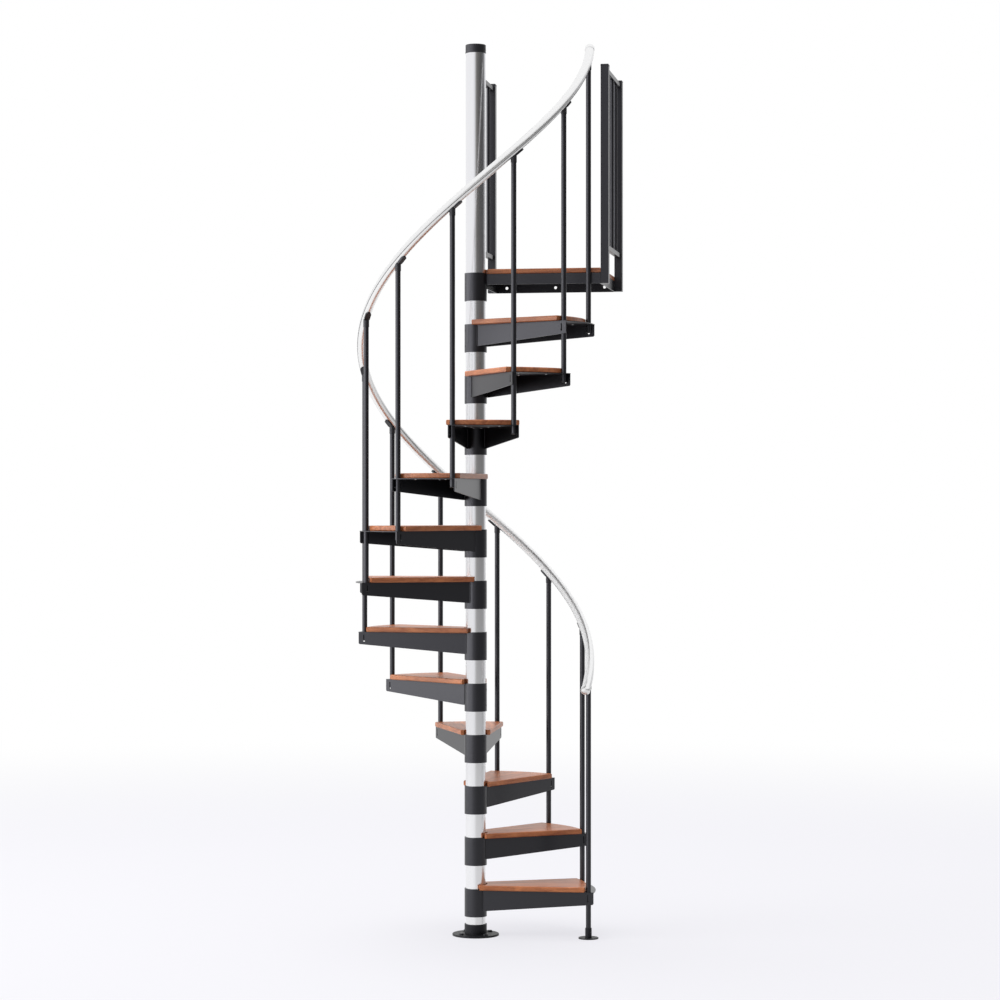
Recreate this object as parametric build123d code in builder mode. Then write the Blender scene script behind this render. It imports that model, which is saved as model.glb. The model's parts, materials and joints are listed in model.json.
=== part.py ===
from build123d import *
from math import asin, atan, atan2, cos, degrees, pi, radians, sin, sqrt
import os

os.makedirs("parts", exist_ok=True)

# A one-turn spiral staircase in its own frame: the origin is the centre of the base
# plate's underside on the pole's axis, +Z is up, +X runs along the landing's front edge
# and +Y across the landing to the upper floor. All sizes are in millimetres.

# The climb
riser = 220.0
tread_count = 12
tread_angle = 30.0
landing_rise = riser * (tread_count + 1)
helix_pitch = riser * 360.0 / tread_angle

# Clearances
running_clearance = 0.2
wing_clearance = 0.6

# The pole
core_radius = 30.0
core_wall = 4.0
spacer_radius = 43.0
sleeve_radius = 48.0
sleeve_height = 120.0
sleeve_stands_above_seat = 4.0
cap_radius = 43.8
cap_height = 37.0
pole_top = 3823.0

# The base plate
plate_radius = 100.0
plate_thickness = 8.0
collar_height = 49.0
base_bolt_circle = 148.0
base_bolt_count = 4
base_bolt_hole_radius = 6.5

# The treads
board_thickness = 22.0
board_to_baluster = 2.0
board_inner_reach = 12.0
board_inner_half_width = 64.0
board_outer_half_width = 152.0
board_notch_radius = 52.0
board_edge_round = 5.0
seat_plate_thickness = 3.0
seat_plate_margin = 25.0
wing_thickness = 4.0
wing_splay = 13.0
wing_end_margin = 24.0
wing_inner_height = 90.0
wing_outer_height = 53.0
wing_corner_cut = 4.0
wing_hole_radius = 4.5
wing_hole_depth = 38.0
wing_hole_inset = 24.0
wing_slot_width = 5.5
wing_slot_top_depth = 11.0

# The balusters and the handrail
baluster_circle = 490.0
baluster_radius = 11.0
baluster_tail = 34.0
rail_radius = 19.0
rail_height_at_start = 1112.0
rail_lower_overrun = 7.0
rail_upper_overrun = 6.8
saddle_width = 24.0
saddle_strap = 4.5
saddle_uphill = 36.0
saddle_downhill = 12.0
saddle_socket_wall = 1.6
saddle_socket_height = 16.0
foot_radius = 42.5
foot_thickness = 5.0
foot_collar_radius = 14.0
foot_collar_height = 45.0

# The landing
landing_side = 5.0
landing_width = 540.0
landing_depth = 510.0
landing_flange_height = 45.0
landing_flange_wall = 4.0
landing_back_hole_radius = 6.5
landing_back_hole_count = 3
landing_back_hole_pitch = 220.0

# The railing panels beside the landing
post_side = 34.0
post_above_bar = 12.0
panel_bar = 19.0
panel_top_bar = 3696.0
panel_bottom_bar = 2941.0
panel_infill_radius = 8.0
panel_infill_count = 3
near_post_depth = 19.0
left_near_post_depth = 70.0

# Derived sizes
bore_radius = core_radius + running_clearance
seat_in_riser = riser - board_thickness
sleeve_base_in_riser = seat_in_riser + sleeve_stands_above_seat - sleeve_height
start_azimuth = -degrees(asin((baluster_radius + running_clearance) / baluster_circle))
board_half_turn = tread_angle / 2
wing_clear = baluster_radius + wing_clearance
board_outer_radius = baluster_circle - baluster_radius - board_to_baluster
seat_plate_radius = baluster_circle + seat_plate_margin
wing_end_radius = baluster_circle + wing_end_margin
far_post_depth = landing_depth - post_side / 2
post_top = panel_top_bar + panel_bar + post_above_bar
landing_seat = landing_rise - board_thickness
flange_bottom = landing_seat - landing_flange_height
rail_slope = atan(riser / (radians(tread_angle) * baluster_circle))


def finish(piece, name):
    """Names a finished piece and writes it."""
    piece.label = name
    export_step(piece, "parts/" + name + ".step")


# Base plate: a round plate with a welded collar that carries the foot of the pole.
with BuildPart() as base_plate:
    with BuildSketch(Plane.XY):
        Circle(plate_radius)
    extrude(amount=plate_thickness)
    with BuildSketch(Plane.XY.offset(plate_thickness)):
        Circle(sleeve_radius)
    extrude(amount=collar_height - plate_thickness)
    with Locations(Plane.XY.offset(plate_thickness)):
        with PolarLocations(base_bolt_circle / 2, base_bolt_count, start_angle=45):
            Hole(base_bolt_hole_radius)
    with BuildSketch(Plane.XY.offset(plate_thickness)):
        Circle(bore_radius)
    extrude(amount=collar_height, mode=Mode.SUBTRACT)
    plate_rim = base_plate.edges().filter_by(GeomType.CIRCLE).group_by(SortBy.RADIUS)[-1]
    chamfer(plate_rim.sort_by(Axis.Z)[-1], length=1.5)
finish(base_plate.part, "base_plate")

# Pole core: the inner tube that every sleeve and spacer is threaded on.
core_top = pole_top - cap_height
with BuildPart() as pole_core:
    with BuildSketch(Plane.XY.offset(plate_thickness)):
        Circle(core_radius)
        Circle(core_radius - core_wall, mode=Mode.SUBTRACT)
    extrude(amount=core_top - plate_thickness)
finish(pole_core.part, "pole_core")

# Spacer tubes: one between each two sleeves, and a short one on the base collar.
with BuildPart() as pole_spacers:
    for level in range(tread_count + 1):
        tube_foot = collar_height
        if level > 0:
            tube_foot = riser * (level - 1) + sleeve_base_in_riser + sleeve_height
        tube_head = riser * level + sleeve_base_in_riser
        with BuildSketch(Plane.XY.offset(tube_foot)):
            Circle(spacer_radius)
            Circle(bore_radius, mode=Mode.SUBTRACT)
        extrude(amount=tube_head - tube_foot)
finish(pole_spacers.part, "pole_spacers")

# Upper tube: stands on the landing's sleeve and closes the guarding at the pole.
landing_sleeve_base = riser * tread_count + sleeve_base_in_riser
landing_sleeve_top = landing_sleeve_base + sleeve_height
with BuildPart() as upper_tube:
    with BuildSketch(Plane.XY.offset(landing_sleeve_top)):
        Circle(spacer_radius)
        Circle(bore_radius, mode=Mode.SUBTRACT)
    extrude(amount=core_top - landing_sleeve_top)
finish(upper_tube.part, "upper_tube")

with BuildPart() as pole_cap:
    with BuildSketch(Plane.XY.offset(core_top)):
        Circle(cap_radius)
    extrude(amount=cap_height)
    cap_rim = pole_cap.edges().filter_by(GeomType.CIRCLE).sort_by(Axis.Z)[-1]
    fillet(cap_rim, radius=3)
finish(pole_cap.part, "pole_cap")

# Tread bracket, drawn for a tread that points along +X with its riser's floor at Z = 0.
# Two tapering wings leave the sleeve and end just outside the balusters, under a thin
# seat plate that the balusters pass through. A keyhole near each wing's end takes the
# screw that holds the baluster's tail.
baluster_along = baluster_circle * cos(radians(board_half_turn))
baluster_aside = baluster_circle * sin(radians(board_half_turn))
splay = radians(wing_splay)
wing_inner_face = baluster_aside * cos(splay) - baluster_along * sin(splay) + wing_clear
wing_outer_face = wing_inner_face + wing_thickness
wing_start = sqrt((sleeve_radius - 4) ** 2 - wing_outer_face ** 2)
wing_end = sqrt(wing_end_radius ** 2 - wing_outer_face ** 2)
wing_top = seat_in_riser - seat_plate_thickness
wing_low_in = seat_in_riser - wing_inner_height
wing_low_out = seat_in_riser - wing_outer_height
slot_travel = wing_hole_depth - wing_slot_top_depth - wing_slot_width / 2
slot_middle_depth = wing_hole_depth - slot_travel / 2
wing_plane = Plane(
    origin=(-wing_outer_face * sin(splay), wing_outer_face * cos(splay), 0),
    x_dir=(cos(splay), sin(splay), 0),
    z_dir=(sin(splay), -cos(splay), 0),
)


def wing_line(along_wing):
    """The wing's outer face in plan, as a point on the +Y side."""
    x = along_wing * cos(splay) - wing_outer_face * sin(splay)
    y = along_wing * sin(splay) + wing_outer_face * cos(splay)
    return (x, y)


plate_root = wing_line(wing_start)
plate_reach = sqrt(seat_plate_radius ** 2 - wing_outer_face ** 2)
plate_corner = wing_line(plate_reach)

with BuildPart() as tread_bracket:
    with BuildSketch(Plane.XY.offset(sleeve_base_in_riser)):
        Circle(sleeve_radius)
    extrude(amount=sleeve_height)
    with BuildSketch(Plane.XY.offset(seat_in_riser - seat_plate_thickness)):
        with BuildLine():
            Line((plate_root[0], -plate_root[1]), plate_root)
            Line(plate_root, plate_corner)
            ThreePointArc(plate_corner, (seat_plate_radius, 0), (plate_corner[0], -plate_corner[1]))
            Line((plate_corner[0], -plate_corner[1]), (plate_root[0], -plate_root[1]))
        make_face()
        with Locations((baluster_along, baluster_aside), (baluster_along, -baluster_aside)):
            Circle(baluster_radius + running_clearance, mode=Mode.SUBTRACT)
    extrude(amount=seat_plate_thickness)
    with BuildSketch(wing_plane):
        with BuildLine():
            Polyline(
                (wing_start, wing_top),
                (wing_end, wing_top),
                (wing_end, wing_low_out + wing_corner_cut),
                (wing_end - wing_corner_cut, wing_low_out),
                (sleeve_radius, wing_low_in),
                (wing_start, wing_low_in),
                close=True,
            )
        make_face()
        with Locations((wing_end - wing_hole_inset, seat_in_riser - wing_hole_depth)):
            Circle(wing_hole_radius, mode=Mode.SUBTRACT)
        with Locations((wing_end - wing_hole_inset, seat_in_riser - slot_middle_depth)):
            SlotCenterToCenter(slot_travel, wing_slot_width, rotation=90, mode=Mode.SUBTRACT)
    wing = extrude(amount=wing_thickness)
    mirror(wing, about=Plane.XZ)
    with BuildSketch(Plane.XY.offset(sleeve_base_in_riser)):
        Circle(bore_radius)
    extrude(amount=sleeve_height, mode=Mode.SUBTRACT)

# Tread board, drawn in the same place as its bracket.
board_outer_along = sqrt(board_outer_radius ** 2 - board_outer_half_width ** 2)
with BuildPart() as tread_board:
    with BuildSketch(Plane.XY.offset(seat_in_riser)):
        with BuildLine():
            Polyline(
                (board_outer_along, -board_outer_half_width),
                (board_inner_reach, -board_inner_half_width),
                (board_inner_reach, board_inner_half_width),
                (board_outer_along, board_outer_half_width),
            )
            ThreePointArc(
                (board_outer_along, board_outer_half_width),
                (board_outer_radius, 0),
                (board_outer_along, -board_outer_half_width),
            )
        make_face()
        Circle(board_notch_radius, mode=Mode.SUBTRACT)
    extrude(amount=board_thickness)
    board_top = tread_board.faces().sort_by(Axis.Z)[-1]
    board_base = tread_board.faces().sort_by(Axis.Z)[0]
    long_edges = board_top.edges().sort_by(SortBy.LENGTH)[-3:]
    long_edges += board_base.edges().sort_by(SortBy.LENGTH)[-3:]
    fillet(long_edges, radius=board_edge_round)

for step in range(1, tread_count + 1):
    heading = start_azimuth + tread_angle * (step - 0.5)
    lift = riser * (step - 1)
    placed = Location((0, 0, lift), (0, 0, heading))
    finish(tread_bracket.part.moved(placed), f"tread_bracket_{step:02d}")
    finish(tread_board.part.moved(placed), f"tread_board_{step:02d}")

# Balusters: round tubes on a circle, each hung between the rear corner of one bracket and
# the front corner of the next, and cut square under the handrail.
baluster_head_drop = rail_radius / cos(rail_slope) + baluster_radius * sin(rail_slope) / cos(rail_slope)


def rail_centre(turn):
    """The handrail's centre height where the helix has turned so far from the start."""
    return rail_height_at_start + helix_pitch * turn / 360.0


for number in range(tread_count + 1):
    azimuth = radians(start_azimuth + tread_angle * number)
    spot = (baluster_circle * cos(azimuth), baluster_circle * sin(azimuth))
    foot = riser * number - board_thickness - baluster_tail
    if number == 0:
        foot = foot_thickness
    head = rail_centre(tread_angle * number) - baluster_head_drop - running_clearance
    with BuildPart() as baluster:
        with BuildSketch(Plane.XY.offset(foot)):
            with Locations(spot):
                Circle(baluster_radius)
        extrude(amount=head - foot)
    finish(baluster.part, f"baluster_{number:02d}")

# Floor foot of the first baluster.
start = radians(start_azimuth)
foot_spot = (baluster_circle * cos(start), baluster_circle * sin(start))
with BuildPart() as baluster_foot:
    with BuildSketch(Plane.XY):
        with Locations(foot_spot):
            Circle(foot_radius)
    extrude(amount=foot_thickness)
    with BuildSketch(Plane.XY.offset(foot_thickness)):
        with Locations(foot_spot):
            Circle(foot_collar_radius)
            Circle(baluster_radius + running_clearance, mode=Mode.SUBTRACT)
    extrude(amount=foot_collar_height - foot_thickness)
finish(baluster_foot.part, "baluster_foot")

# Handrail: a round tube swept up a helix over the balusters.
rail_turn = tread_angle * tread_count + rail_lower_overrun + rail_upper_overrun
rail_rise = helix_pitch * rail_turn / 360.0
rail_start = start_azimuth - rail_lower_overrun
rail_base = rail_centre(-rail_lower_overrun)
slope_y = cos(rail_slope)
slope_z = sin(rail_slope)
with BuildPart() as handrail:
    with BuildLine() as rail_path:
        Helix(pitch=helix_pitch, height=rail_rise, radius=baluster_circle)
    with BuildSketch(Plane(origin=rail_path.line @ 0, z_dir=rail_path.line % 0)):
        Circle(rail_radius)
    sweep(path=rail_path.line, is_frenet=True)
rail_place = Location((0, 0, rail_base), (0, 0, rail_start))
finish(handrail.part.moved(rail_place), "handrail")

# The room the rail takes near one baluster, centred on the helix's start.
cutter_turn = 16.0
cutter_rise = helix_pitch * cutter_turn / 360.0
with BuildPart() as rail_cutter:
    with BuildLine() as cutter_path:
        Helix(pitch=helix_pitch, height=cutter_rise, radius=baluster_circle)
    with BuildSketch(Plane(origin=cutter_path.line @ 0, z_dir=cutter_path.line % 0)):
        Circle(rail_radius + running_clearance)
    sweep(path=cutter_path.line, is_frenet=True)
cutter_place = Location((0, 0, -cutter_rise / 2), (0, 0, -cutter_turn / 2))

# Saddles: a strap along the rail's underside with a socket over each baluster's head,
# drawn at the helix's start on +X and turned into place.
with BuildPart() as saddle:
    tangent = Plane(origin=(baluster_circle, 0, 0), x_dir=(0, slope_y, slope_z), z_dir=(0, -slope_z, slope_y))
    with BuildSketch(tangent.offset(-rail_radius - saddle_strap)):
        with Locations(((saddle_uphill - saddle_downhill) / 2, 0)):
            SlotOverall(saddle_uphill + saddle_downhill, saddle_width)
    extrude(amount=saddle_strap + rail_radius / 2)
    with BuildSketch(Plane.XY.offset(-baluster_head_drop - saddle_socket_height)):
        with Locations((baluster_circle, 0)):
            Circle(baluster_radius + saddle_socket_wall)
    extrude(amount=baluster_head_drop + saddle_socket_height)
    with BuildSketch(Plane.XY.offset(-baluster_head_drop - saddle_socket_height)):
        with Locations((baluster_circle, 0)):
            Circle(baluster_radius + running_clearance)
    extrude(amount=saddle_socket_height, mode=Mode.SUBTRACT)
    add(rail_cutter.part.moved(cutter_place), mode=Mode.SUBTRACT)

with BuildPart() as handrail_saddles:
    for number in range(tread_count + 1):
        turn = tread_angle * number
        saddle_place = Location((0, 0, rail_centre(turn)), (0, 0, start_azimuth + turn))
        add(saddle.part.moved(saddle_place))
finish(handrail_saddles.part, "handrail_saddles")

# Landing frame: the top sleeve with a seat plate and a flange down each side.
flange_root = sleeve_radius - landing_flange_wall
back_hole_height = (flange_bottom + landing_seat) / 2
with BuildPart() as landing_frame:
    with BuildSketch(Plane.XY.offset(landing_sleeve_base)):
        Circle(sleeve_radius)
    extrude(amount=sleeve_height)
    with BuildSketch(Plane.XY.offset(landing_seat - seat_plate_thickness)):
        with Locations((landing_side, 0)):
            Rectangle(landing_width - landing_side, landing_depth, align=(Align.MIN, Align.MIN))
    extrude(amount=seat_plate_thickness)
    with BuildSketch(Plane.XY.offset(flange_bottom)):
        with Locations((flange_root, 0)):
            Rectangle(landing_width - flange_root, landing_flange_wall, align=(Align.MIN, Align.MIN))
        with Locations((landing_side, flange_root)):
            Rectangle(landing_flange_wall, landing_depth - flange_root, align=(Align.MIN, Align.MIN))
        with Locations((landing_width, 0)):
            Rectangle(landing_flange_wall, landing_depth, align=(Align.MAX, Align.MIN))
        with Locations((landing_side, landing_depth)):
            Rectangle(landing_width - landing_side, landing_flange_wall, align=(Align.MIN, Align.MAX))
    extrude(amount=landing_flange_height)
    with BuildSketch(Plane.XY.offset(landing_sleeve_base)):
        Circle(bore_radius)
    extrude(amount=sleeve_height, mode=Mode.SUBTRACT)
    back_face = Plane(
        origin=((landing_side + landing_width) / 2, landing_depth, back_hole_height),
        x_dir=(1, 0, 0),
        z_dir=(0, 1, 0),
    )
    with BuildSketch(back_face):
        with GridLocations(landing_back_hole_pitch, 1, landing_back_hole_count, 1):
            Circle(landing_back_hole_radius)
    extrude(amount=-2 * landing_flange_wall, mode=Mode.SUBTRACT)
finish(landing_frame.part, "landing_frame")

# Landing board: covers the whole frame, flush with its flanges.
with BuildPart() as landing_board:
    with BuildSketch(Plane.XY.offset(landing_seat)):
        with Locations((landing_side, 0)):
            Rectangle(landing_width - landing_side, landing_depth, align=(Align.MIN, Align.MIN))
        Circle(board_notch_radius, mode=Mode.SUBTRACT)
    extrude(amount=board_thickness)
    landing_top = landing_board.faces().sort_by(Axis.Z)[-1]
    landing_base = landing_board.faces().sort_by(Axis.Z)[0]
    outer_edges = landing_top.edges().sort_by(SortBy.LENGTH)[-4:]
    outer_edges += landing_base.edges().sort_by(SortBy.LENGTH)[-4:]
    fillet(outer_edges, radius=board_edge_round)
finish(landing_board.part, "landing_board")


def railing_panel(post_line, near_post, name):
    """A guard panel of two square posts, two bars and round uprights, along +Y."""
    with BuildPart() as panel:
        with BuildSketch(Plane.XY.offset(flange_bottom)):
            with Locations((post_line, near_post), (post_line, far_post_depth)):
                Rectangle(post_side, post_side)
        extrude(amount=post_top - flange_bottom)
        chamfer(panel.faces().sort_by(Axis.Z)[-2:].edges(), length=2)
        for bar_base in (panel_bottom_bar, panel_top_bar):
            with BuildSketch(Plane.XY.offset(bar_base)):
                with Locations((post_line, (near_post + far_post_depth) / 2)):
                    Rectangle(panel_bar, far_post_depth - near_post)
            extrude(amount=panel_bar)
        bay = (far_post_depth - near_post) / (panel_infill_count + 1)
        with BuildSketch(Plane.XY.offset(panel_bottom_bar)):
            with Locations((post_line, (near_post + far_post_depth) / 2)):
                with GridLocations(1, bay, 1, panel_infill_count):
                    Circle(panel_infill_radius)
        extrude(amount=panel_top_bar - panel_bottom_bar)
    finish(panel.part, name)


post_offset = post_side / 2 + running_clearance
railing_panel(landing_side - post_offset, left_near_post_depth, "railing_panel_left")
railing_panel(landing_width + post_offset, near_post_depth, "railing_panel_right")
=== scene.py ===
import json
import math
import random

import bpy
from mathutils import Matrix, Vector

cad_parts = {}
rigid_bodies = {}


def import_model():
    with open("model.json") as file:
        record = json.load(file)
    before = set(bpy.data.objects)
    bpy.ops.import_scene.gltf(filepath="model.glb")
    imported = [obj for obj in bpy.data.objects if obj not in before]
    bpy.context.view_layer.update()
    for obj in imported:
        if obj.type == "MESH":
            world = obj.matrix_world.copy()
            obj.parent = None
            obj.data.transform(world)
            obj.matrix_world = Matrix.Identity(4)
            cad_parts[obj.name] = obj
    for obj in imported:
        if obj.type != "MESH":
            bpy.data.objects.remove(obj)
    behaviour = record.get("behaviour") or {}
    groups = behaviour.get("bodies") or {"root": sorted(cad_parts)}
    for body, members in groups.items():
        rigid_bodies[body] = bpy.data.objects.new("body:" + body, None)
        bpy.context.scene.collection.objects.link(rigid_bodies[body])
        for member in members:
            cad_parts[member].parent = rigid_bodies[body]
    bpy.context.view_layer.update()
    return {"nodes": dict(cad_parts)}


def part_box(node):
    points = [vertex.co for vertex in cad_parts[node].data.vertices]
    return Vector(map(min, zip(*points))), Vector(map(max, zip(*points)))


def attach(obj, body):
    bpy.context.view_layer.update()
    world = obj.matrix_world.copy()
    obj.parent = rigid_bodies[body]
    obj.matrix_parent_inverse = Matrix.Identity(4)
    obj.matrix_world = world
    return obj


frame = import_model()
nodes = frame["nodes"]

# The stair's own layout, in metres and degrees. Turns are counted from the first baluster.
RISER = 0.220
TREADS = 12
STEP_TURN = 30.0
START = -1.3096
LAST_TURN = TREADS * STEP_TURN

# Boards, brackets and pole
BOARD = 0.022
SEAT_PLATE = 0.003
SLEEVE_RADIUS = 0.048
SLEEVE_DROP = 0.018
CAP_RADIUS = 0.0438
SPLAY = math.radians(13.0)
WING = 0.004
BALUSTER_TO_WING = 0.0116
BASE_PLATE = 0.008
ANCHOR_CIRCLE_RADIUS = 0.074

# Handrail, whose height climbs by one pitch in a whole turn
RAIL_RADIUS = 0.490
RAIL_TUBE_RADIUS = 0.019
RAIL_START_HEIGHT = 1.112
PITCH = RISER * TREADS
RAIL_FOOT_OVERRUN = 7.0
RAIL_TOP_OVERRUN = 6.8

# Landing and its railing posts
LANDING_SIDE = 0.005
LANDING_WIDTH = 0.540
LANDING_DEPTH = 0.510
LANDING_HEADING = 45.0
POST = 0.034
POST_GAP = 0.0002
LEFT_POST_DEPTH = 0.070
RIGHT_POST_DEPTH = 0.019


# Shader nodes
def node(tree, kind, **values):
    n = tree.nodes.new(kind)
    for key, value in values.items():
        setattr(n, key, value)
    return n


def math_node(tree, operation, *values):
    n = node(tree, "ShaderNodeMath", operation=operation)
    for i, value in enumerate(values):
        if isinstance(value, (int, float)):
            n.inputs[i].default_value = value
        else:
            tree.links.new(value, n.inputs[i])
    return n.outputs[0]


def noise(tree, vector, scale, detail, distortion=0.0):
    n = node(tree, "ShaderNodeTexNoise")
    n.inputs["Scale"].default_value = scale
    n.inputs["Detail"].default_value = detail
    n.inputs["Distortion"].default_value = distortion
    tree.links.new(vector, n.inputs["Vector"])
    return n.outputs["Fac"]


def mapped(tree, vector, kind="POINT", **values):
    n = node(tree, "ShaderNodeMapping", vector_type=kind)
    for key, value in values.items():
        n.inputs[key].default_value = value
    tree.links.new(vector, n.inputs["Vector"])
    return n.outputs[0]


def map_range(tree, value, start, end, to_start=0.0, to_end=1.0, kind="LINEAR"):
    n = node(tree, "ShaderNodeMapRange", interpolation_type=kind)
    n.inputs["From Min"].default_value = start
    n.inputs["From Max"].default_value = end
    n.inputs["To Min"].default_value = to_start
    n.inputs["To Max"].default_value = to_end
    tree.links.new(value, n.inputs["Value"])
    return n.outputs["Result"]


def bump(tree, bsdf, height, strength, distance):
    n = node(tree, "ShaderNodeBump")
    n.inputs["Strength"].default_value = strength
    n.inputs["Distance"].default_value = distance
    tree.links.new(height, n.inputs["Height"])
    tree.links.new(n.outputs[0], bsdf.inputs["Normal"])


def mix_colour(tree, blend, factor, a, b):
    n = node(tree, "ShaderNodeMix", data_type="RGBA", blend_type=blend)
    for socket, value in ((0, factor), (6, a), (7, b)):
        if isinstance(value, tuple):
            n.inputs[socket].default_value = (*value, 1)
        else:
            tree.links.new(value, n.inputs[socket])
    return n.outputs[2]


def mix_shader(tree, factor, a, b):
    n = node(tree, "ShaderNodeMixShader")
    for socket, value in enumerate((factor, a, b)):
        tree.links.new(value, n.inputs[socket])
    return n.outputs[0]


def add_shader(tree, a, b):
    n = node(tree, "ShaderNodeAddShader")
    tree.links.new(a, n.inputs[0])
    tree.links.new(b, n.inputs[1])
    return n.outputs[0]


def plain_shader(tree, kind, colour, strength=None):
    """A diffuse, emission or background shader of one colour, which may be another socket."""
    n = node(tree, kind)
    if isinstance(colour, tuple):
        n.inputs[0].default_value = (*colour, 1)
    else:
        tree.links.new(colour, n.inputs[0])
    if strength is not None:
        n.inputs[1].default_value = strength
    return n.outputs[0]


# Materials
PAINT_TINT = (0.90, 0.90, 1.0)
PEEL_SCALE = 500
PEEL_DEPTH = 0.0002
STREAK_STRETCH = (900, 900, 14)
STREAK_SPREAD = 0.05

GRAIN_STRETCH = (2.4, 24, 24)
PORE_STRETCH = (9, 260, 260)
RING_SHARE = 0.62
PORE_SHARE = 0.2
BROAD_SHARE = 0.18
WOOD_DARK = (0.30, 0.081, 0.026)
WOOD_LIGHT = (0.66, 0.226, 0.082)
TONE_RANGE = (0.72, 1.22)
TONE_SEED_STEP = 70
TONE_SEED_START = 82
CUT_STEP = (1.7, 0.9, 0.37)


def new_material(name):
    mat = bpy.data.materials.new(name)
    mat.use_nodes = True
    tree = mat.node_tree
    tree.nodes.clear()
    out = node(tree, "ShaderNodeOutputMaterial")
    bsdf = node(tree, "ShaderNodeBsdfPrincipled")
    tree.links.new(bsdf.outputs[0], out.inputs[0])
    place = node(tree, "ShaderNodeTexCoord").outputs["Object"]
    return mat, tree, bsdf, place


def painted(name, base, rough, peel, gloss=0.5):
    """Paint or moulded plastic with a slight orange peel and a cool gloss."""
    mat, tree, bsdf, place = new_material(name)
    bsdf.inputs["Base Color"].default_value = (*base, 1)
    bsdf.inputs["Roughness"].default_value = rough
    bsdf.inputs["Specular IOR Level"].default_value = gloss
    bsdf.inputs["Specular Tint"].default_value = (*PAINT_TINT, 1)
    bump(tree, bsdf, noise(tree, place, PEEL_SCALE, 3), peel, PEEL_DEPTH)
    return mat


def tube_metal(name, base, rough):
    """Metal tube with fine streaks drawn along the pole's direction."""
    mat, tree, bsdf, place = new_material(name)
    bsdf.inputs["Base Color"].default_value = (*base, 1)
    bsdf.inputs["Metallic"].default_value = 1.0
    streak = noise(tree, mapped(tree, place, Scale=STREAK_STRETCH), 1.0, 2)
    roughness = math_node(tree, "MULTIPLY_ADD", streak, STREAK_SPREAD, rough - STREAK_SPREAD / 2)
    tree.links.new(roughness, bsdf.inputs["Roughness"])
    return mat


def wood(name, heading, seed):
    """Stained board with its grain along the heading and a tone of its own."""
    mat, tree, bsdf, place = new_material(name)
    along = mapped(tree, place, Rotation=(0, 0, math.radians(-heading)))
    cut = mapped(tree, along, Location=[seed * step for step in CUT_STEP])
    rings = noise(tree, mapped(tree, cut, Scale=GRAIN_STRETCH), 1.7, 6, 0.7)
    pores = noise(tree, mapped(tree, cut, Scale=PORE_STRETCH), 1.5, 3)
    broad = noise(tree, cut, 5, 2)
    grain = math_node(tree, "MULTIPLY", rings, RING_SHARE)
    grain = math_node(tree, "MULTIPLY_ADD", pores, PORE_SHARE, grain)
    grain = math_node(tree, "MULTIPLY_ADD", broad, BROAD_SHARE, grain)
    tone = random.Random(seed * TONE_SEED_STEP + TONE_SEED_START).uniform(*TONE_RANGE)
    ramp = node(tree, "ShaderNodeValToRGB")
    ends = ramp.color_ramp.elements
    for end, position, colour in ((ends[0], 0.36, WOOD_DARK), (ends[1], 0.64, WOOD_LIGHT)):
        end.position = position
        end.color = (*(part * tone for part in colour), 1)
    tree.links.new(grain, ramp.inputs[0])
    tree.links.new(ramp.outputs[0], bsdf.inputs["Base Color"])
    bsdf.inputs["Roughness"].default_value = 0.42
    bsdf.inputs["Coat Weight"].default_value = 0.15
    bsdf.inputs["Coat Roughness"].default_value = 0.25
    bump(tree, bsdf, grain, 0.12, 0.0004)
    return mat


dark = painted("dark_steel", (0.0065, 0.0065, 0.008), 0.31, 0.08, 0.60)
# A copy of the dark paint with half its gloss and more roughness: painted shade, which keeps the parts at
# floor level darker than the same paint above
shade_dulled_steel = painted("shade_dulled_steel", (0.0065, 0.0065, 0.008), 0.45, 0.08, 0.30)
bare = tube_metal("bare_steel", (0.50, 0.50, 0.51), 0.35)
pale = tube_metal("pale_tube", (0.84, 0.84, 0.865), 0.20)
rail_mat = tube_metal("pale_rail", (0.90, 0.90, 0.905), 0.33)
# Near-black paint for the strip along the handrail, which is a painted reflection
reflection_strip_mat = painted("rail_painted_reflection", (0.10, 0.10, 0.105), 0.5, 0.05)
plastic = painted("dark_plastic", (0.012, 0.012, 0.013), 0.42, 0.05)

FINISHES = {
    "pole_spacers": pale,
    "upper_tube": pale,
    "handrail": rail_mat,
    "handrail_saddles": plastic,
    "pole_cap": plastic,
    "pole_core": bare,
    # The base plate and the baluster's foot take the duller copy, as painted shade
    "base_plate": shade_dulled_steel,
    "baluster_foot": shade_dulled_steel,
}
LANDING_SEED = 20


def tread_heading(k):
    """The azimuth of the middle of tread k, counted from 1."""
    return START + STEP_TURN * (k - 0.5)


def paint(obj, mat):
    obj.data.materials.clear()
    obj.data.materials.append(mat)


for name, obj in nodes.items():
    if name.startswith("tread_board"):
        k = int(name[-2:])
        mat = wood(f"wood_{k:02d}", tread_heading(k), k)
    elif name == "landing_board":
        mat = wood("wood_landing", 0.0, LANDING_SEED)
    else:
        mat = FINISHES.get(name, dark)
    paint(obj, mat)
    for face in obj.data.polygons:
        face.material_index = 0


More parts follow.
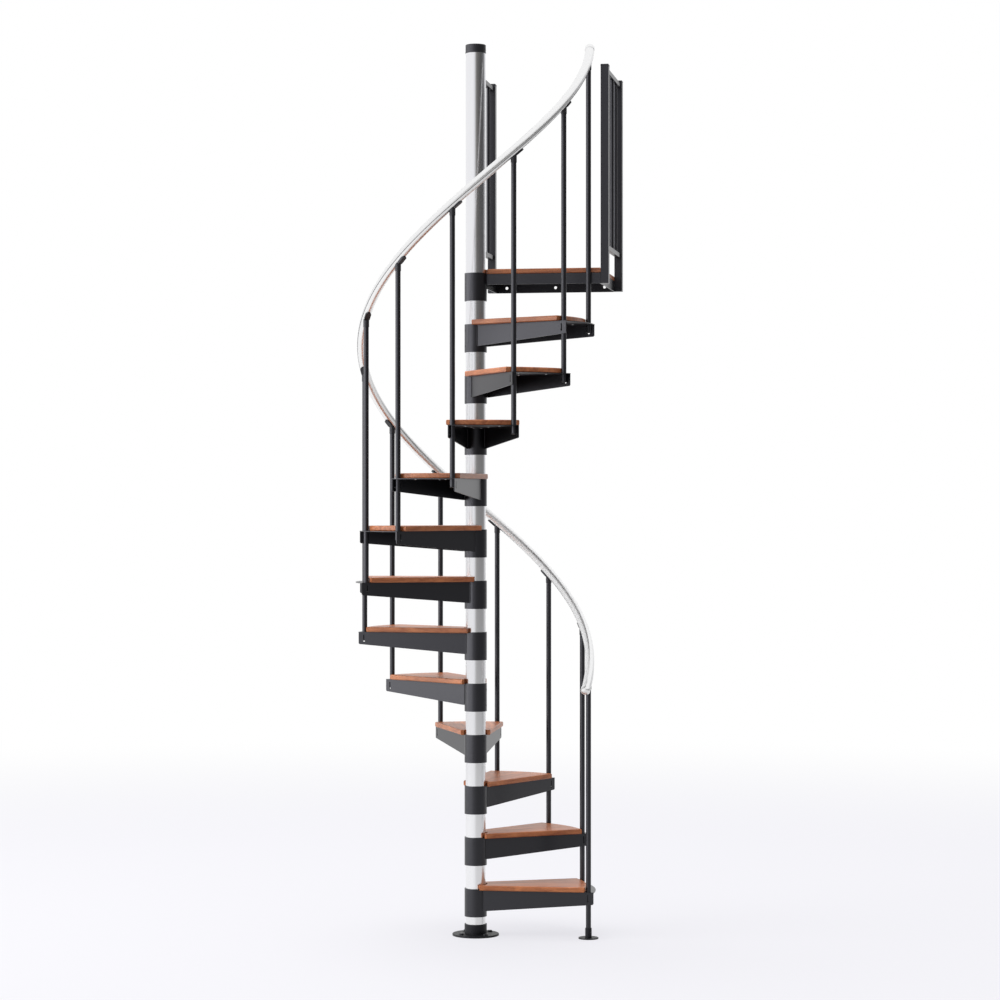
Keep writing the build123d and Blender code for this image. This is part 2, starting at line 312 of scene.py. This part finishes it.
# Small pieces, gathered as lists of vertices and faces
class Shape:
    def __init__(self):
        self.verts = []
        self.faces = []

    def add(self, verts, faces, place):
        base = len(self.verts)
        self.verts += [place @ Vector(v) for v in verts]
        self.faces += [tuple(base + i for i in face) for face in faces]

    def turned(self, profile, place, sides, phase=0.0):
        """A solid of revolution about local Z from (radius, height) pairs, closed at both ends."""
        verts = []
        for radius, height in profile:
            for i in range(sides):
                a = 2 * math.pi * i / sides + phase
                verts.append((radius * math.cos(a), radius * math.sin(a), height))
        faces = []
        for row in range(len(profile) - 1):
            low = row * sides
            high = low + sides
            for i in range(sides):
                k = (i + 1) % sides
                faces.append((low + i, low + k, high + k, high + i))
        last = (len(profile) - 1) * sides
        faces.append(tuple(reversed(range(sides))))
        faces.append(tuple(last + i for i in range(sides)))
        self.add(verts, faces, place)

    def build(self, name, mat):
        mesh = bpy.data.meshes.new(name)
        mesh.from_pydata([tuple(v) for v in self.verts], [], self.faces)
        mesh.update()
        mesh.materials.append(mat)
        obj = bpy.data.objects.new(name, mesh)
        bpy.context.scene.collection.objects.link(obj)
        # The CAD nodes come in selected, and edit mode would turn their faces over too.
        bpy.ops.object.select_all(action="DESELECT")
        bpy.context.view_layer.objects.active = obj
        obj.select_set(True)
        bpy.ops.object.mode_set(mode="EDIT")
        bpy.ops.mesh.select_all(action="SELECT")
        bpy.ops.mesh.normals_make_consistent(inside=False)
        bpy.ops.object.mode_set(mode="OBJECT")
        bpy.ops.object.shade_smooth_by_angle(angle=math.radians(35))
        obj.select_set(False)
        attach(obj, "root")


def standing(azimuth, radius, height):
    """A place on a circle about the pole whose local Z points up."""
    a = math.radians(azimuth)
    spot = Matrix.Translation((radius * math.cos(a), radius * math.sin(a), height))
    return spot @ Matrix.Rotation(a, 4, "Z")


def facing_out(azimuth, radius, height):
    """A place on a circle about the pole whose local Z points outward."""
    return standing(azimuth, radius, height) @ Matrix.Rotation(math.pi / 2, 4, "Y")


DOWN = Matrix.Rotation(math.pi, 4, "X")

# Set screws that lock each sleeve on the core: two, one above the other
SCREW_RADIUS = 0.0042
SCREW_ASIDE = 44
SCREW_DROPS = (0.027, 0.095)
screw_end = [
    (SCREW_RADIUS, -0.002),
    (SCREW_RADIUS, 0.00024),
    (SCREW_RADIUS * 0.9, 0.0004),
    (SCREW_RADIUS * 0.72, 0.0004),
    (SCREW_RADIUS * 0.66, -0.0018),
]
set_screws = Shape()
for k in range(1, TREADS + 2):
    heading = tread_heading(k) if k <= TREADS else LANDING_HEADING
    for drop in SCREW_DROPS:
        height = RISER * k - SLEEVE_DROP - drop
        set_screws.turned(screw_end, facing_out(heading + 180 + SCREW_ASIDE, SLEEVE_RADIUS, height), 18)
set_screws.build("set_screws", plastic)

# Anchor bolts in the base plate, each with a washer and a head turned its own way
washer = [(0.0125, 0.0), (0.0125, 0.0018), (0.0118, 0.0024), (0.0075, 0.0024)]
bolt_head = [(0.0098, 0.0022), (0.0098, 0.0056), (0.0086, 0.0068), (0.002, 0.0070)]
anchors = Shape()
for i in range(4):
    spot = standing(45 + 90 * i, ANCHOR_CIRCLE_RADIUS, BASE_PLATE)
    anchors.turned(washer, spot, 32)
    anchors.turned(bolt_head, spot, 6, 0.3 + i)
anchors.build("anchor_bolts", dark)

# Pan-head screws under every seat plate, holding the boards
pan_head = [(0.0045, 0.0), (0.0045, 0.0009), (0.0038, 0.0019), (0.0022, 0.0025), (0.0010, 0.0027)]
board_screws = Shape()
for k in range(1, TREADS + 1):
    for radius, aside in ((0.105, 9.0), (0.275, 7.5), (0.430, 9.5)):
        for side in (-1, 1):
            height = RISER * k - BOARD - SEAT_PLATE
            place = standing(tread_heading(k) + side * aside, radius, height) @ DOWN
            board_screws.turned(pan_head, place, 16)
for x in (0.12, 0.30, 0.48):
    for y in (0.10, 0.27, 0.44):
        height = RISER * (TREADS + 1) - BOARD - SEAT_PLATE
        board_screws.turned(pan_head, Matrix.Translation((x, y, height)) @ DOWN, 16)
board_screws.build("board_screws", bare)


# End caps of the handrail
def rail_point(turn):
    a = math.radians(START + turn)
    height = RAIL_START_HEIGHT + PITCH * turn / 360.0
    return Vector((RAIL_RADIUS * math.cos(a), RAIL_RADIUS * math.sin(a), height))


def rail_tangent(turn):
    a = math.radians(START + turn)
    per_radian = PITCH / (2 * math.pi)
    return Vector((-RAIL_RADIUS * math.sin(a), RAIL_RADIUS * math.cos(a), per_radian)).normalized()


rail_cap = [
    (RAIL_TUBE_RADIUS * 0.97, -0.0160),
    (RAIL_TUBE_RADIUS + 0.0008, -0.0160),
    (RAIL_TUBE_RADIUS + 0.0012, -0.0152),
    (RAIL_TUBE_RADIUS + 0.0012, 0.0030),
    (RAIL_TUBE_RADIUS + 0.0002, 0.0062),
    (RAIL_TUBE_RADIUS * 0.90, 0.0092),
    (RAIL_TUBE_RADIUS * 0.74, 0.0114),
    (RAIL_TUBE_RADIUS * 0.50, 0.0128),
    (RAIL_TUBE_RADIUS * 0.22, 0.0134),
]
rail_caps = Shape()
for turn, way in ((-RAIL_FOOT_OVERRUN, -1), (LAST_TURN + RAIL_TOP_OVERRUN, 1)):
    outward = (rail_tangent(turn) * way).to_track_quat("Z", "Y").to_matrix().to_4x4()
    rail_caps.turned(rail_cap, Matrix.Translation(rail_point(turn)) @ outward, 40)
rail_caps.build("rail_end_caps", rail_mat)

# A dark strip along the outside of the handrail, just below the middle, raised a hair off the tube: a
# painted reflection
REFLECTION_STRIP_SLOPE = math.radians(-19.0)
REFLECTION_STRIP_WIDTH = 0.0026
REFLECTION_STRIP_PROUD = 0.00035
REFLECTION_STRIP_SUNK = 0.0002
REFLECTION_STRIP_START = -6.6
REFLECTION_STRIP_TURN = LAST_TURN + 13.0
REFLECTION_STRIP_STEPS = 190
reflection_strip_section = [(-0.5, -REFLECTION_STRIP_SUNK), (-0.3, REFLECTION_STRIP_PROUD), (0.3, REFLECTION_STRIP_PROUD), (0.5, -REFLECTION_STRIP_SUNK)]
corners = len(reflection_strip_section)
verts = []
for i in range(REFLECTION_STRIP_STEPS + 1):
    turn = REFLECTION_STRIP_START + REFLECTION_STRIP_TURN * i / REFLECTION_STRIP_STEPS
    a = math.radians(START + turn)
    side = Vector((math.cos(a), math.sin(a), 0))
    up = side.cross(rail_tangent(turn))
    for across, out in reflection_strip_section:
        b = REFLECTION_STRIP_SLOPE + across * REFLECTION_STRIP_WIDTH / RAIL_TUBE_RADIUS
        verts.append(rail_point(turn) + (side * math.cos(b) + up * math.sin(b)) * (RAIL_TUBE_RADIUS + out))
faces = [tuple(reversed(range(corners)))]
for i in range(REFLECTION_STRIP_STEPS):
    low = i * corners
    high = low + corners
    for j in range(corners):
        k = (j + 1) % corners
        faces.append((low + j, low + k, high + k, high + j))
faces.append(tuple(REFLECTION_STRIP_STEPS * corners + j for j in range(corners)))
reflection_strip = Shape()
reflection_strip.add(verts, faces, Matrix.Identity(4))
reflection_strip.build("rail_painted_reflections", reflection_strip_mat)

# Weld beads on both faces of each wing, where it leaves its sleeve
BEAD_LOW = -0.0885
BEAD_HIGH = -0.0035
BEAD_ROWS = 34
BEAD_SHIFT = 0.0004
half_step = math.radians(STEP_TURN / 2)
wing_in = (
    RAIL_RADIUS * math.sin(half_step) * math.cos(SPLAY)
    - RAIL_RADIUS * math.cos(half_step) * math.sin(SPLAY)
    + BALUSTER_TO_WING
)
wing_out = wing_in + WING
bead = []
for i in range(BEAD_ROWS + 1):
    swell = 0.0009 if i in (0, BEAD_ROWS) else 0.0021 + 0.0003 * (i % 2)
    bead.append((swell, BEAD_LOW + (BEAD_HIGH - BEAD_LOW) * i / BEAD_ROWS))
welds = Shape()
for k in range(1, TREADS + 1):
    for side in (-1, 1):
        wing_turn = Matrix.Rotation(math.radians(tread_heading(k)) + side * SPLAY, 4, "Z")
        for off, shift in ((wing_out, BEAD_SHIFT), (wing_in, -BEAD_SHIFT)):
            reach = math.sqrt(SLEEVE_RADIUS**2 - off**2) + BEAD_SHIFT
            root = Matrix.Translation((reach, side * (off + shift), RISER * k - BOARD))
            welds.turned(bead, wing_turn @ root, 10)
welds.build("wing_welds", dark)

# Domed plugs in the lower ends of the balusters, apart from the first, which has a foot
plug = [
    (0.0109, -0.001),
    (0.0114, 0.0),
    (0.0114, 0.0022),
    (0.0100, 0.0036),
    (0.0060, 0.0046),
    (0.0018, 0.0049),
]
plugs = Shape()
for k in range(1, TREADS + 1):
    low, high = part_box(f"baluster_{k:02d}")
    middle = ((low[0] + high[0]) / 2, (low[1] + high[1]) / 2, low[2])
    plugs.turned(plug, Matrix.Translation(middle) @ DOWN, 28)
plugs.build("baluster_plugs", plastic)

# Square caps on the tops of the railing posts, given by half their sides
half_post = POST / 2
post_cap = [
    (half_post + 0.0001, -0.0085),
    (half_post + 0.0003, -0.0081),
    (half_post + 0.0003, -0.0012),
    (half_post - 0.0012, 0.0009),
    (half_post - 0.0060, 0.0012),
]
square_cap = [(half * math.sqrt(2), height) for half, height in post_cap]
post_lines = (
    ("railing_panel_left", LANDING_SIDE - half_post - POST_GAP, LEFT_POST_DEPTH),
    ("railing_panel_right", LANDING_WIDTH + half_post + POST_GAP, RIGHT_POST_DEPTH),
)
post_caps = Shape()
for panel, x, near_depth in post_lines:
    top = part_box(panel)[1][2]
    for y in (near_depth, LANDING_DEPTH - half_post):
        post_caps.turned(square_cap, Matrix.Translation((x, y, top)), 4, math.pi / 4)
post_caps.build("post_caps", plastic)

# Two thin rings round the pole's cap
RING_SUNK = 0.002
RING_EDGE = 0.0003
cap_rings = Shape()
for low, high, proud in ((3.7872, 3.7906, 0.0007), (3.8010, 3.8022, 0.0004)):
    ring = [
        (CAP_RADIUS - RING_SUNK, low),
        (CAP_RADIUS + proud, low + RING_EDGE),
        (CAP_RADIUS + proud, high - RING_EDGE),
        (CAP_RADIUS - RING_SUNK, high),
    ]
    cap_rings.turned(ring, Matrix.Identity(4), 72)
cap_rings.build("pole_cap_rings", plastic)

# The studio is white behind and to the left, with a darker room to the front right. Its
# shades are given by azimuth in degrees from the camera's side, positive to the right.
VIEW = math.radians(-80.0)
WHITE = (1.0, 1.0, 1.0)
ROOM = (
    (-44, WHITE),
    (-30, (0.98, 0.98, 0.99)),
    (-14, (0.88, 0.88, 0.89)),
    (-4, (0.52, 0.52, 0.515)),
    (6, (0.22, 0.215, 0.20)),
    (18, (0.125, 0.12, 0.11)),
    (40, (0.075, 0.072, 0.068)),
    (66, (0.06, 0.06, 0.06)),
    (90, (0.085, 0.085, 0.085)),
    (106, (0.22, 0.22, 0.22)),
    (124, (0.60, 0.60, 0.61)),
    (146, WHITE),
)


def room_shade(tree, vector):
    """The room's shade in the vector's direction, and the vector's height."""
    turned = mapped(tree, vector, kind="VECTOR", Rotation=(0, 0, -VIEW))
    parts = node(tree, "ShaderNodeSeparateXYZ")
    tree.links.new(turned, parts.inputs[0])
    angle = math_node(tree, "ARCTAN2", parts.outputs["Y"], parts.outputs["X"])
    part_of_turn = math_node(tree, "MULTIPLY_ADD", angle, 1 / (2 * math.pi), 0.5)
    band = node(tree, "ShaderNodeValToRGB")
    stops = band.color_ramp.elements
    for end, position in ((stops[0], 0.0), (stops[1], 1.0)):
        end.position = position
        end.color = (*WHITE, 1)
    for azimuth, shade in ROOM:
        stops.new(0.5 + azimuth / 360.0).color = (*shade, 1)
    tree.links.new(part_of_turn, band.inputs[0])
    return band.outputs[0], parts.outputs["Z"]


# The floor: pale to the camera and fading to white further off, lit plainly for everything
# else, and in reflections pale near the stair and fading into the room.
FLOOR_SIZE = 160
FADE_FROM = 3.5
FADE_TO = 10.0


def floor_material():
    mat = bpy.data.materials.new("floor")
    mat.use_nodes = True
    tree = mat.node_tree
    tree.nodes.clear()
    place = node(tree, "ShaderNodeNewGeometry").outputs["Position"]
    length = node(tree, "ShaderNodeVectorMath", operation="LENGTH")
    tree.links.new(place, length.inputs[0])
    reach = length.outputs["Value"]
    far = map_range(tree, reach, FADE_FROM, FADE_TO, kind="SMOOTHSTEP")

    lit = plain_shader(tree, "ShaderNodeBsdfDiffuse", (0.20, 0.20, 0.20))
    near_glow = plain_shader(tree, "ShaderNodeEmission", (0.70, 0.695, 0.735))
    far_glow = plain_shader(tree, "ShaderNodeEmission", WHITE)
    to_camera = mix_shader(tree, far, add_shader(tree, lit, near_glow), far_glow)

    shade, _ = room_shade(tree, place)
    white_share = map_range(tree, math_node(tree, "LOGARITHM", reach, 10.0), 0.6, 2.0, 0.72, 0.18)
    mirrored = mix_colour(tree, "MIX", white_share, shade, WHITE)
    near_mirror = add_shader(tree, lit, plain_shader(tree, "ShaderNodeEmission", mirrored, 0.78))
    far_mirror = plain_shader(tree, "ShaderNodeEmission", mirrored, 0.90)
    to_gloss = mix_shader(tree, far, near_mirror, far_mirror)

    to_others = plain_shader(tree, "ShaderNodeBsdfDiffuse", (0.22, 0.22, 0.225))
    path = node(tree, "ShaderNodeLightPath")
    unseen = mix_shader(tree, path.outputs["Is Glossy Ray"], to_others, to_gloss)
    surface = mix_shader(tree, path.outputs["Is Camera Ray"], unseen, to_camera)
    tree.links.new(surface, node(tree, "ShaderNodeOutputMaterial").inputs[0])
    return mat


bpy.ops.mesh.primitive_plane_add(size=FLOOR_SIZE, location=(0, 0, 0))
floor = bpy.context.object
floor.name = "floor"
paint(floor, floor_material())

# The world: white to the camera, the room in reflections, with mist at the skyline and
# white overhead, and an even fill for the rest
FILL = 0.66
MIST = (0.22, 0.215, 0.205)
MIST_TOP = 0.075
OVERHEAD_FROM = 0.22
OVERHEAD_TO = 0.50

world = bpy.data.worlds.new("studio")
bpy.context.scene.world = world
world.use_nodes = True
tree = world.node_tree
tree.nodes.clear()
direction = node(tree, "ShaderNodeTexCoord").outputs["Generated"]
shade, height = room_shade(tree, direction)
skyline = map_range(tree, height, 0.0, MIST_TOP, 1.0, 0.0)
misty = mix_colour(tree, "LIGHTEN", skyline, shade, MIST)
overhead = map_range(tree, height, OVERHEAD_FROM, OVERHEAD_TO, kind="SMOOTHSTEP")
mirrored = mix_colour(tree, "MIX", overhead, misty, WHITE)
to_camera = plain_shader(tree, "ShaderNodeBackground", WHITE)
to_gloss = plain_shader(tree, "ShaderNodeBackground", mirrored)
to_others = plain_shader(tree, "ShaderNodeBackground", WHITE, FILL)
path = node(tree, "ShaderNodeLightPath")
unseen = mix_shader(tree, path.outputs["Is Glossy Ray"], to_others, to_gloss)
surface = mix_shader(tree, path.outputs["Is Camera Ray"], unseen, to_camera)
tree.links.new(surface, node(tree, "ShaderNodeOutputWorld").inputs[0])

# The camera stands level, almost square to the landing's front edge.
CAMERA_DISTANCE = 11.805
EYE_HEIGHT = 1.8685
LENS = 98.92
PICTURE_SHIFT = 0.0243
toward = Vector((math.cos(VIEW), math.sin(VIEW), 0))
cam_data = bpy.data.cameras.new("camera")
camera = bpy.data.objects.new("camera", cam_data)
bpy.context.scene.collection.objects.link(camera)
camera.location = toward * CAMERA_DISTANCE + Vector((0, 0, EYE_HEIGHT))
camera.rotation_euler = (-toward).to_track_quat("-Z", "Y").to_euler()
cam_data.sensor_width = 36
cam_data.lens = LENS
cam_data.shift_x = PICTURE_SHIFT
cam_data.clip_start = 0.1
cam_data.clip_end = 200
bpy.context.scene.camera = camera
bpy.context.scene.view_settings.view_transform = "Standard"

# Soft boxes, all aimed at the middle of the stair
AIM = Vector((0, 0, 1.9))


def area(name, azimuth, distance, height, size, power):
    """A soft box that reflections don't show. Azimuth is counted as in the room."""
    a = VIEW + math.radians(azimuth)
    data = bpy.data.lights.new(name, "AREA")
    data.shape = "RECTANGLE"
    data.size, data.size_y = size
    data.energy = power
    obj = bpy.data.objects.new(name, data)
    bpy.context.scene.collection.objects.link(obj)
    obj.location = (math.cos(a) * distance, math.sin(a) * distance, height)
    obj.rotation_euler = (AIM - obj.location).to_track_quat("-Z", "Y").to_euler()
    obj.visible_glossy = False
    return obj


area("key", -79, 7.0, 3.0, (4.5, 6.0), 300)
area("top", -135, 2.5, 13.0, (7.0, 7.0), 700)

# A broad soft box on the left that only shows as gloss, on paint, plastic and varnish but
# not on the bare tubes, which it would clip to white
BARE_METALS = ("pole_spacers", "upper_tube", "handrail", "pole_core", "rail_end_caps")
sheen = area("sheen", -72, 7.5, 2.0, (12.0, 9.0), 700)
sheen.visible_glossy = True
sheen.visible_diffuse = False
bare_metals = bpy.data.collections.new("bare_metals")
for obj in bpy.context.scene.objects:
    if obj.name in BARE_METALS:
        bare_metals.objects.link(obj)
for entry in bare_metals.collection_objects:
    entry.light_linking.link_state = "EXCLUDE"
sheen.light_linking.receiver_collection = bare_metals
